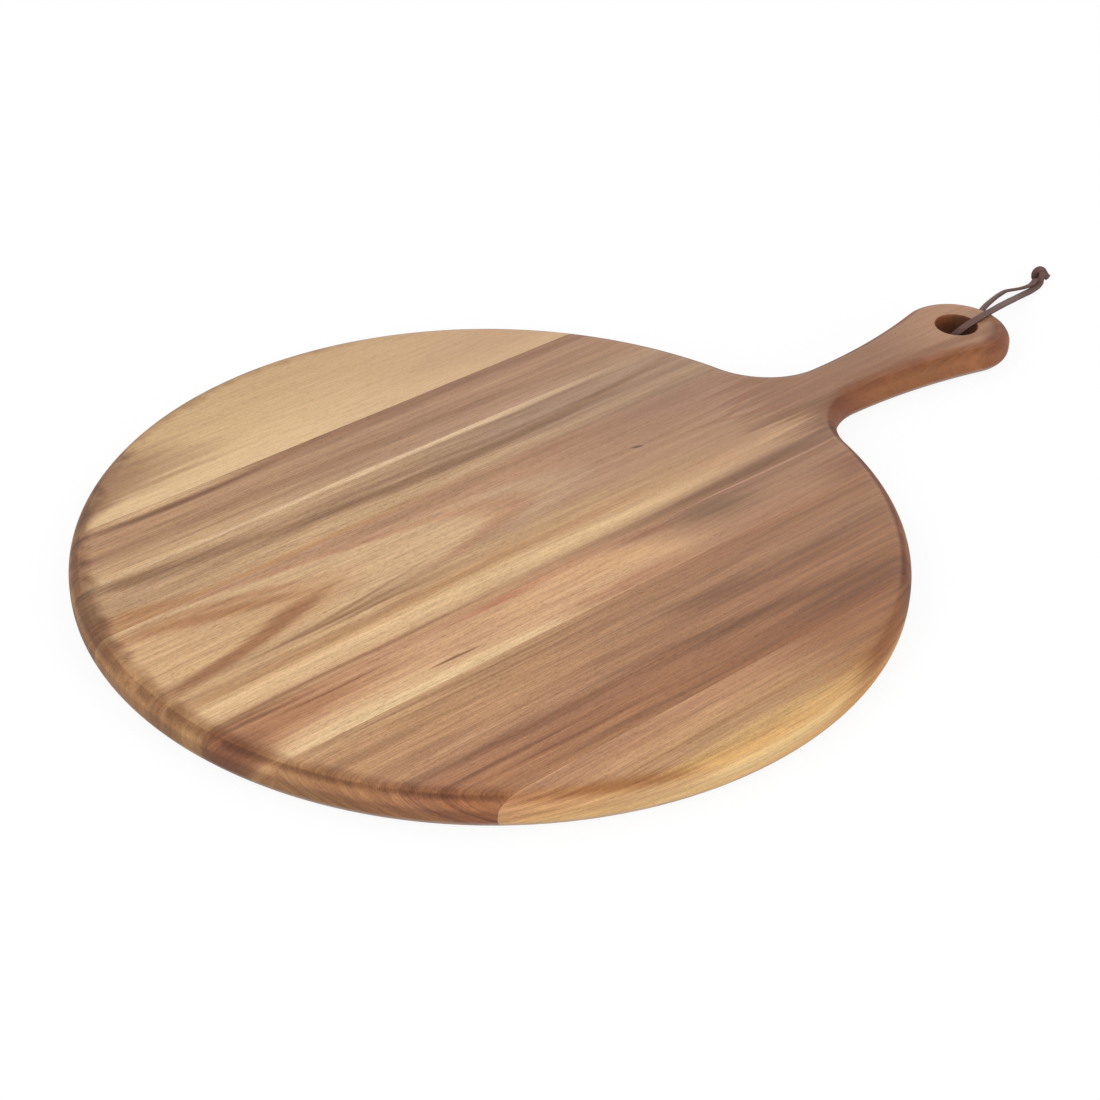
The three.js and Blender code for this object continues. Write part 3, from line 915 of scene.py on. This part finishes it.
def stave_material(number, lean, wander, seed, left, right, turn, marks, streak=0.5, pores=0.38, rim=1.0,
                   core=None, bore=None):
    """One stave's wood. left and right are the bands across the stave at its two ends, as (place across
    the panel in mm, seen colour), and turn is the stretch along which one passes into the other. marks
    are (centre, reach, softness, (slope, bend), seen colour, strength). core replaces the bands at the
    left, and bore is a drilled hole with a dark wall, as (centre, radius, seen colour)."""
    material, pen, shader = new_material(f"acacia_stave_{number}")
    grain = pen.group(grain_group, {"Lean": lean, "Wander": wander, "Seed": seed})
    along, across, feather = grain["Along"], grain["Across"], grain["Streak"]
    span = STAVE_EDGES[number], STAVE_EDGES[number - 1]
    bands = []
    for stops, place in ((left, LEFT_BANDS_AT), (right, RIGHT_BANDS_AT)):
        bands.append(pen.ramp(across, [(at, wood(colour, place, at)) for at, colour in stops], *span))
    if core:
        bands[0] = core(pen, along, across, bands[0])
    ragged = pen.add(along, pen.swing(feather, RAGGED_TURN))
    colour = pen.mix(pen.fade(ragged, *turn), *bands)
    for centre, reach, softness, course, tint, strength in marks:
        feeds = {"Along": along, "Across": across, "Feather": feather, "Centre": (*centre, 0),
                 "Reach": (*reach, softness), "Course": (*course, 0)}
        mask = pen.group(mark_group, feeds)["Mask"]
        colour = pen.mix(pen.times(mask, strength), colour, wood(tint, *centre))
    if bore:
        centre, radius, tint = bore
        feeds = {"Along": along, "Across": grain["Level"], "Centre": (*centre, 0),
                 "Reach": (radius, radius, BORE_SOFTNESS)}
        colour = pen.mix(pen.group(mark_group, feeds)["Mask"], colour, wood(tint, *centre))
    feeds = {label: grain[label] for label in ("Streak", "Fine", "Pores")}
    feeds |= {"Color": colour, "Streak Depth": streak, "Pore Depth": pores, "Rim Depth": rim}
    # The group's colour is oil with painted shade on the shoulder, the low side and the lower edge.
    oiled = pen.group(oil_and_shade_group, feeds)
    bump = pen.place("Bump", {"Height": oiled["Height"], **GRAIN_BUMP}).outputs[0]
    pen.feed(shader, {"Base Color": oiled["Color"], "Roughness": oiled["Roughness"], "Normal": bump})
    print(material.name, "has", len(pen.tree.nodes), "nodes")
    return material


# %% [markdown]
# ## The staves' figure
# From the back of the board to the front, the first is pale sapwood with a grey-brown smudge at the left.
# The second is pink-brown with a bright lower border, and the third is grey-brown with a long dark vein.

# %% Stave 1
STRAIGHT = (0.0, 0.0)
stave_1 = stave_material(
    1, lean=0.5, wander=1.0, seed=1.3, turn=(-40, 120), streak=0.1, pores=0.25,
    left=[(105.4, (220, 187, 145)), (116, (221, 188, 145)), (130, (215, 181, 138)), (150, (205, 171, 128)),
          (178, (198, 164, 124))],
    right=[(105.4, (209, 175, 139)), (115, (207, 172, 136)), (130, (203, 167, 132)), (178, (203, 170, 134))],
    marks=[
        ((-108, 131), (34, 13), 0.6, (0.1, 0), (163, 127, 97), 0.95),
        ((-126, 116), (16, 5), 0.7, (0.3, 0), (152, 114, 84), 0.8),
        ((-74, 127.5), (24, 3), 0.8, STRAIGHT, (186, 151, 115), 0.8),
        ((-84, 120.3), (26, 1.8), 0.7, STRAIGHT, (186, 150, 113), 0.8),
        ((-70, 133), (18, 2.4), 0.8, STRAIGHT, (192, 157, 119), 0.6),
        ((95, 125), (40, 9), 0.9, STRAIGHT, (197, 160, 128), 0.6),
    ],
)

# %% Stave 2
stave_2 = stave_material(
    2, lean=0.6, wander=0.9, seed=4.1, turn=(-110, 40), streak=0.45,
    left=[(68.4, (200, 166, 129)), (71, (205, 169, 131)), (74, (194, 158, 121)), (79, (184, 148, 114)),
          (84, (170, 131, 101)), (90, (181, 143, 110)), (97, (178, 140, 109)), (105.4, (186, 148, 114))],
    right=[(68.4, (186, 152, 126)), (72, (177, 143, 118)), (77, (178, 143, 117)), (84, (168, 133, 108)),
           (91, (179, 143, 116)), (97, (178, 143, 116)), (100, (160, 124, 101)), (105.4, (160, 124, 100))],
    marks=[
        ((-88, 102.8), (40, 1.9), 0.6, STRAIGHT, (208, 173, 133), 0.9),
        ((-84, 98.4), (66, 1.7), 0.9, (0, 0.0012), (136, 99, 75), 0.95),
        ((-25, 102.2), (40, 3.0), 0.9, STRAIGHT, (156, 118, 93), 0.7),
        ((-12, 68.4), (112, 1.3), 0.7, STRAIGHT, (230, 198, 162), 1.0),
        ((-20, 83.5), (110, 1.6), 0.9, STRAIGHT, (154, 118, 92), 0.7),
        ((-40, 76), (60, 1.2), 0.8, STRAIGHT, (166, 131, 102), 0.6),
    ],
)

# %% Stave 3
stave_3 = stave_material(
    3, lean=-0.5, wander=1.0, seed=7.7, turn=(-60, 110), streak=0.55,
    left=[(36, (176, 132, 94)), (39, (193, 154, 117)), (43, (190, 155, 118)), (48, (188, 153, 117)),
          (53, (186, 151, 117)), (57, (187, 152, 119)), (61, (189, 154, 120)), (65, (184, 150, 115)),
          (68.4, (190, 157, 121))],
    right=[(36, (172, 139, 114)), (41, (180, 148, 121)), (46, (172, 141, 116)), (52, (163, 133, 111)),
           (57, (169, 139, 118)), (61, (166, 136, 115)), (65, (172, 141, 117)), (68.4, (178, 146, 121))],
    marks=[
        ((-40, 42.5), (105, 3.0), 0.8, STRAIGHT, (199, 166, 129), 0.6),
        ((-12, 68.3), (115, 1.7), 0.7, STRAIGHT, (226, 194, 158), 0.95),
        ((20, 49.8), (175, 2.6), 0.9, (0, 0.00052), (144, 111, 86), 0.9),
        ((-138, 61.5), (16, 3.2), 0.8, (-0.1, 0), (142, 109, 82), 0.9),
        ((-112, 58.5), (36, 4.4), 0.9, (-0.12, 0), (152, 119, 90), 0.6),
        ((-10, 56.6), (80, 1.5), 0.9, (-0.02, 0), (150, 117, 92), 0.7),
        ((-40, 61.2), (50, 1.0), 0.8, STRAIGHT, (158, 124, 95), 0.5),
        ((-48, 64.8), (45, 1.6), 0.8, STRAIGHT, (200, 167, 131), 0.7),
        ((-152, 41.5), (24, 4.0), 0.6, (-0.12, 0), (174, 128, 89), 0.85),
    ],
)

# %% [markdown]
# The handle stave is cut flat through the log, so its growth layers show as tongues, one inside the
# other, with their tips towards the handle. A tongue's border is a parabola: the place along the board
# plus the square of the distance from the tongue's middle. Colours laid along that value give nested
# tongues, which would take many marks otherwise.

# %% Stave 4
TONGUE_MIDDLE = 8.0
TONGUE_WIDTH = 4.8
TONGUE_FRONT = (-3, -11)
TONGUES = [
    (-240, (203, 163, 121)), (-150, (206, 168, 126)), (-118, (207, 169, 128)), (-104, (198, 157, 117)),
    (-82, (197, 155, 115)), (-62, (205, 169, 129)), (-20, (210, 176, 137)), (-2, (208, 173, 136)),
    (10, (190, 147, 115)), (24, (187, 145, 114)), (38, (194, 160, 129)), (56, (190, 155, 125)),
    (70, (182, 144, 116)), (160, (184, 143, 113)),
]


def tongues(pen, along, across, bands):
    """Nested tongues over the stave's back half, passing into straight bands at its front."""
    off = pen.less(across, TONGUE_MIDDLE)
    layer = pen.add(along, pen.math("DIVIDE", pen.times(off, off), TONGUE_WIDTH))
    stops = [(at, wood(colour, at, TONGUE_MIDDLE)) for at, colour in TONGUES]
    figure = pen.ramp(layer, stops, TONGUES[0][0], TONGUES[-1][0])
    return pen.mix(pen.fade(across, *TONGUE_FRONT), figure, bands)


stave_4 = stave_material(
    4, lean=0.15, wander=1.2, seed=2.6, turn=(20, 150), streak=0.35, core=tongues,
    bore=((290.4, -7.1), 10.6, (138, 88, 48)),
    left=[(-40.8, (181, 137, 104)), (-36, (198, 160, 122)), (-32, (212, 176, 134)), (-28, (222, 186, 142)),
          (-24, (206, 168, 125)), (-20, (188, 147, 107)), (-16, (195, 157, 118)), (-10, (190, 154, 117)),
          (0, (192, 156, 119)), (36, (190, 146, 112))],
    right=[(-40.8, (152, 117, 96)), (-36, (166, 133, 109)), (-31, (190, 152, 122)), (-25, (197, 159, 125)),
           (-20, (186, 148, 118)), (-10, (178, 141, 114)), (2, (179, 144, 117)), (12, (169, 132, 109)),
           (22, (170, 134, 111)), (29, (154, 120, 101)), (36, (172, 138, 115))],
    marks=[
        ((236, -5), (84, 45), 0.22, STRAIGHT, (158, 122, 100), 1.0),
        ((296, -4), (38, 32), 0.6, STRAIGHT, (178, 139, 113), 0.9),
        # Painted shade on the flat beside the handle's near edge, where a wider rounding would turn from the
        # light.
        ((258, -15.5), (45, 3.5), 0.8, (-0.13, 0), (148, 107, 83), 0.8),
        ((235, -27), (70, 7), 0.4, (-0.14, 0), (150, 117, 89), 0.9),
        ((194, -22), (18, 6), 0.6, (-0.1, 0), (136, 94, 58), 0.9),
        ((299, -27), (14, 7), 0.5, (0.5, 0), (140, 104, 80), 0.8),
        ((-128, -4.6), (47, 3.2), 0.55, (0.2, 0.001), (155, 110, 78), 0.9),
        ((-101, 4.0), (12, 2.8), 0.6, (0.12, 0), (162, 116, 82), 0.85),
        ((-130, 22.6), (40, 3.2), 0.7, (-0.24, -0.0014), (170, 124, 88), 0.9),
        ((-122, 26.5), (36, 2.2), 0.8, (-0.2, -0.001), (178, 132, 96), 0.8),
        ((-45, 29.5), (80, 3.2), 0.9, (-0.08, 0), (188, 142, 109), 0.5),
        ((10, 32), (60, 2.0), 0.9, STRAIGHT, (162, 126, 98), 0.7),
        ((-60, -28.5), (110, 2.6), 0.8, STRAIGHT, (225, 190, 146), 0.8),
        ((-88, -8.6), (40, 0.8), 0.9, (0.1, 0.0006), (160, 122, 88), 0.8),
        ((-85, -10.8), (28, 0.9), 0.8, (0.02, 0), (154, 118, 84), 0.9),
        ((-72, -13.4), (30, 0.7), 0.8, (0.01, 0), (162, 125, 91), 0.8),
        ((-90, -15.6), (30, 1.1), 0.8, STRAIGHT, (212, 175, 132), 0.8),
        ((-70, -20.5), (80, 1.7), 0.9, (0.02, 0), (178, 137, 97), 0.7),
        ((-110, -37.2), (70, 0.8), 0.8, STRAIGHT, (156, 112, 80), 0.8),
        ((-160, -40), (24, 2.2), 0.8, STRAIGHT, (140, 93, 64), 0.8),
        ((110, -37.5), (75, 3.2), 0.8, STRAIGHT, (136, 103, 82), 0.85),
        ((188, -31), (18, 9), 0.8, STRAIGHT, (136, 84, 46), 0.6),
        ((91.5, 9.2), (2.6, 0.7), 0.6, (-0.3, 0), (112, 84, 62), 0.9),
        ((150, -1.5), (20, 1.2), 0.8, (-0.24, 0), (160, 116, 94), 0.6),
        ((152, 7.0), (16, 1.2), 0.8, (0.36, 0), (162, 118, 96), 0.5),
    ],
)

# %% [markdown]
# The front staves have straight grain: a narrow reddish one with a short crack, a wide brown one with fine
# dark veins, and the last one with golden sapwood along its edge.

# %% Stave 5
stave_5 = stave_material(
    5, lean=-0.6, wander=1.0, seed=9.4, turn=(10, 90), streak=0.35,
    left=[(-70.6, (206, 164, 126)), (-66, (208, 167, 128)), (-61, (208, 167, 128)), (-55, (206, 163, 124)),
          (-48, (205, 162, 123)), (-44, (205, 162, 126)), (-40.8, (186, 141, 108))],
    right=[(-70.6, (171, 130, 103)), (-60, (176, 137, 110)), (-50, (166, 129, 104)),
           (-40.8, (158, 120, 98))],
    marks=[
        ((-148, -49), (48, 9.5), 0.7, (0.02, 0), (174, 125, 91), 0.95),
        ((-171, -56), (17, 13), 0.7, STRAIGHT, (148, 100, 73), 0.9),
        ((-114, -66.0), (38, 5.2), 0.8, STRAIGHT, (222, 186, 143), 0.9),
        ((-90, -68.8), (76, 3.0), 0.7, STRAIGHT, (231, 198, 154), 1.0),
        ((-122, -46.5), (22, 0.7), 0.8, STRAIGHT, (144, 98, 70), 0.8),
        ((-150, -42.2), (24, 1.2), 0.8, STRAIGHT, (134, 86, 60), 0.9),
        ((-69, -61.2), (11.5, 0.65), 0.5, (-0.06, 0), (144, 104, 72), 0.95),
        ((-20, -42.6), (24, 2.2), 0.9, STRAIGHT, (184, 122, 96), 0.8),
        ((18, -67.0), (32, 4.0), 0.9, STRAIGHT, (184, 137, 105), 0.9),
        ((166, -62), (26, 9), 0.9, STRAIGHT, (148, 108, 88), 0.9),
        ((22, -51), (34, 5.0), 0.8, (-0.22, 0), (214, 170, 128), 0.9),
        ((48, -45), (18, 2.2), 0.8, (-0.1, 0), (158, 114, 90), 0.8),
        ((84, -49.5), (19, 6.4), 0.8, (-0.1, 0), (138, 109, 87), 0.9),
        ((119, -41.9), (46, 0.5), 0.6, STRAIGHT, (192, 152, 128), 0.85),
    ],
)

# %% Stave 6
stave_6 = stave_material(
    6, lean=1.8, wander=1.2, seed=5.8, turn=(-90, 70), streak=0.6,
    left=[(-137.9, (170, 125, 91)), (-130, (164, 118, 86)), (-124, (171, 123, 90)), (-119, (163, 117, 88)),
          (-113, (163, 119, 91)), (-107, (179, 136, 103)), (-97, (184, 141, 105)), (-88, (186, 143, 106)),
          (-80, (180, 139, 103)), (-74, (188, 149, 111)), (-70.6, (196, 158, 118))],
    right=[(-137.9, (148, 104, 79)), (-130, (150, 108, 83)), (-122, (154, 113, 87)), (-115, (157, 117, 90)),
           (-108, (166, 124, 97)), (-100, (152, 112, 88)), (-93, (158, 120, 95)), (-86, (166, 127, 100)),
           (-79, (157, 118, 92)), (-70.6, (165, 123, 96))],
    marks=[
        ((-60, -112.8), (72, 1.9), 0.9, (-0.03, 0), (140, 99, 74), 0.9),
        ((58, -118.5), (60, 3.2), 0.9, (-0.12, 0), (132, 95, 72), 0.8),
        ((-88, -120.2), (42, 0.9), 0.8, STRAIGHT, (138, 93, 66), 0.8),
        ((-70, -126.5), (50, 0.8), 0.8, (-0.02, 0), (146, 100, 72), 0.7),
        ((-95, -103.6), (22, 0.9), 0.8, STRAIGHT, (200, 158, 122), 0.8),
        ((-60, -79.0), (45, 0.8), 0.8, (-0.01, 0), (156, 117, 86), 0.8),
        ((-65, -74.0), (50, 0.7), 0.8, STRAIGHT, (156, 116, 84), 0.7),
        ((42, -96.5), (24, 4.2), 0.9, (-0.04, 0), (136, 100, 78), 0.8),
        ((-20, -99.5), (22, 1.2), 0.9, STRAIGHT, (146, 106, 82), 0.8),
        ((96, -101), (22, 4.0), 0.9, STRAIGHT, (140, 103, 80), 0.7),
        ((95, -130), (32, 6.5), 0.9, (0.05, 0), (134, 94, 71), 0.7),
        ((0, -134), (60, 1.8), 0.9, STRAIGHT, (144, 102, 76), 0.6),
    ],
)

# %% Stave 7
stave_7 = stave_material(
    7, lean=-2.4, wander=1.0, seed=3.2, turn=(10, 60), streak=0.45, rim=0.25,
    left=[(-182, (200, 160, 110)), (-168, (199, 159, 111)), (-163, (190, 149, 109)),
          (-158, (180, 140, 102)), (-153, (194, 151, 111)), (-147, (181, 137, 102)),
          (-143, (178, 133, 101)), (-137.9, (189, 144, 109))],
    right=[(-182, (190, 140, 86)), (-170, (190, 145, 96)), (-163, (168, 126, 91)), (-152, (164, 120, 90)),
           (-137.9, (159, 114, 87))],
    marks=[
        ((0, -175), (70, 10.5), 0.25, STRAIGHT, (206, 166, 114), 0.9),
        # Paler sapwood along the lower rim with a painted sheen: part wood colour, part painted highlight.
        ((-20, -190), (60, 8), 0.9, (0, 0.0028), (208, 184, 138), 0.7),
        ((80, -162), (38, 11), 0.6, (0.45, 0), (140, 84, 36), 0.95),
        ((-62, -177), (24, 8), 0.8, (-0.2, 0), (176, 143, 108), 0.8),
        ((-76, -158), (27, 5.2), 0.8, (-0.48, 0), (160, 114, 78), 0.9),
        ((118, -143), (22, 10), 0.7, (0.6, 0), (108, 64, 36), 0.85),
        ((-10, -156.8), (50, 1.2), 0.8, STRAIGHT, (168, 126, 89), 0.8),
        ((-20, -148.8), (50, 1.0), 0.8, STRAIGHT, (200, 155, 114), 0.6),
    ],
)

# %% Staves get their wood
woods = (stave_1, stave_2, stave_3, stave_4, stave_5, stave_6, stave_7)
for stave, material in zip(staves.values(), woods):
    stave.data.materials.append(material)
print(len(woods), "staves have their wood")

# %% [markdown]
# ## Leather
# The lace is dark brown leather. Its upper face is painted a little lighter than its sides, a painted
# light from above, and a fine noise in colour and height breaks up the surface. Only the lace has it, so it
# needs no group.

# %% Leather
LEATHER_DARK = (0.055, 0.023, 0.018, 1)
LEATHER_LIT_TOP = (0.150, 0.078, 0.064, 1)
LEATHER_GRAIN = {"Scale": 900.0, "Detail": 4.0, "Roughness": 0.6}
LEATHER_BUMP = {"Strength": 0.4, "Distance": 0.3 * MM}
LEATHER_GLOSS = {"Roughness": 0.62, "Specular IOR Level": 0.3}
UPPER_FACE = (-0.1, 0.9)
LIT_TOP_PATCHES = (0.25, 0.75, 0.55, 1.0)
leather, pen, shader = new_material("brown_leather")
coordinates = pen.place("TexCoord").outputs
pebble = pen.place("TexNoise", {"Vector": coordinates["Object"], **LEATHER_GRAIN}).outputs[0]
upward = pen.fade(pen.parts(coordinates["Normal"])[2], *UPPER_FACE)
# Painted light: faces that look up are painted lighter, broken up by the pebble noise.
lit_top_leather = pen.mix(pen.times(upward, pen.fade(pebble, *LIT_TOP_PATCHES)), LEATHER_DARK, LEATHER_LIT_TOP)
bump = pen.place("Bump", {"Height": pebble, **LEATHER_BUMP}).outputs[0]
pen.feed(shader, {"Base Color": lit_top_leather, "Normal": bump, **LEATHER_GLOSS})
for piece in (lace_over, lace_under, knot):
    piece.data.materials.append(leather)
print("leather of", len(leather.node_tree.nodes), "nodes on three pieces")

# %% [markdown]
# ## Light
# A product table stands in a white cove. The cove is bright all round up to about 45 degrees, which
# gives the flat top its pale veil, and it is darker overhead, so the rounded shoulder shows the wood's
# own colour. Two low softboxes, left and right of the camera, put a sheen on the rim.

# %% Cove
COVE_STOPS = [(0.0, 1.0), (0.70, 1.0), (0.9, 0.40), (1.0, 0.34)]
COVE_STRENGTH = 1.20
world = bpy.data.worlds.new("white_cove")
world.use_nodes = True
bpy.context.scene.world = world
pen = Pen(world.node_tree)
height = pen.parts(pen.place("TexCoord").outputs["Generated"])[2]
shade = pen.ramp(height, [(at, (level, level, level, 1)) for at, level in COVE_STOPS], 0.0, 1.0)
pen.feed(world.node_tree.nodes["Background"], {"Color": shade, "Strength": COVE_STRENGTH})
print("cove of strength", COVE_STRENGTH)

# %% Softboxes
SOFTBOX_SIZE = (0.7, 0.5)
SOFTBOX_WATTS = 7.0
SOFTBOX_DISTANCE = 1.6
SOFTBOXES = {"softbox_left": (-37, 19), "softbox_right": (50, 12)}
for name, (turn, elevation) in SOFTBOXES.items():
    panel = bpy.data.lights.new(name, "AREA")
    panel.shape = "RECTANGLE"
    panel.size, panel.size_y = SOFTBOX_SIZE
    panel.energy = SOFTBOX_WATTS
    softbox = bpy.data.objects.new(name, panel)
    bpy.context.scene.collection.objects.link(softbox)
    box_axes = camera_axes(CAMERA_AZIMUTH + np.radians(turn), np.radians(elevation), 0.0)
    place = Matrix.Translation(box_axes[2] * SOFTBOX_DISTANCE)
    softbox.matrix_world = place @ Matrix(box_axes).transposed().to_4x4()
    print(name, "at", [round(x, 2) for x in softbox.matrix_world.translation])

# %% [markdown]
# The floor is white paper, lit to pure white for the camera and for reflections, as in the photograph.
# A small share stays ordinary paper, so the board keeps a faint shadow.

# %% Floor
FLOOR_REACH = 4.0
FLOOR_DROP = 0.2 * MM
FLOOR_GLOW = 1.03
GLOW_SHARE = 0.85
PAPER = {"Base Color": (0.85, 0.85, 0.85, 1), "Roughness": 0.9}
floor_corners = np.array([(-1, -1, 0), (1, -1, 0), (1, 1, 0), (-1, 1, 0)]) * FLOOR_REACH
floor_corners -= [0, 0, FLOOR_DROP]
floor = mesh_object("studio_floor", floor_corners, [(0, 1, 2, 3)])
paper, pen, shader = new_material("white_paper")
pen.feed(shader, PAPER)
path = pen.place("LightPath").outputs
looked_at = pen.most(pen.most(path["Is Camera Ray"], path["Is Glossy Ray"]), path["Is Transmission Ray"])
glow = pen.place("Emission", {"Strength": FLOOR_GLOW}).outputs[0]
share = pen.times(looked_at, GLOW_SHARE)
blend = pen.place("MixShader", {0: share, 1: shader.outputs[0], 2: glow}).outputs[0]
pen.feed(paper.node_tree.nodes["Material Output"], {"Surface": blend})
floor.data.materials.append(paper)
bpy.context.scene.view_settings.view_transform = "Standard"
print("floor", round(FLOOR_REACH * 2), "m wide")

# %% [markdown]
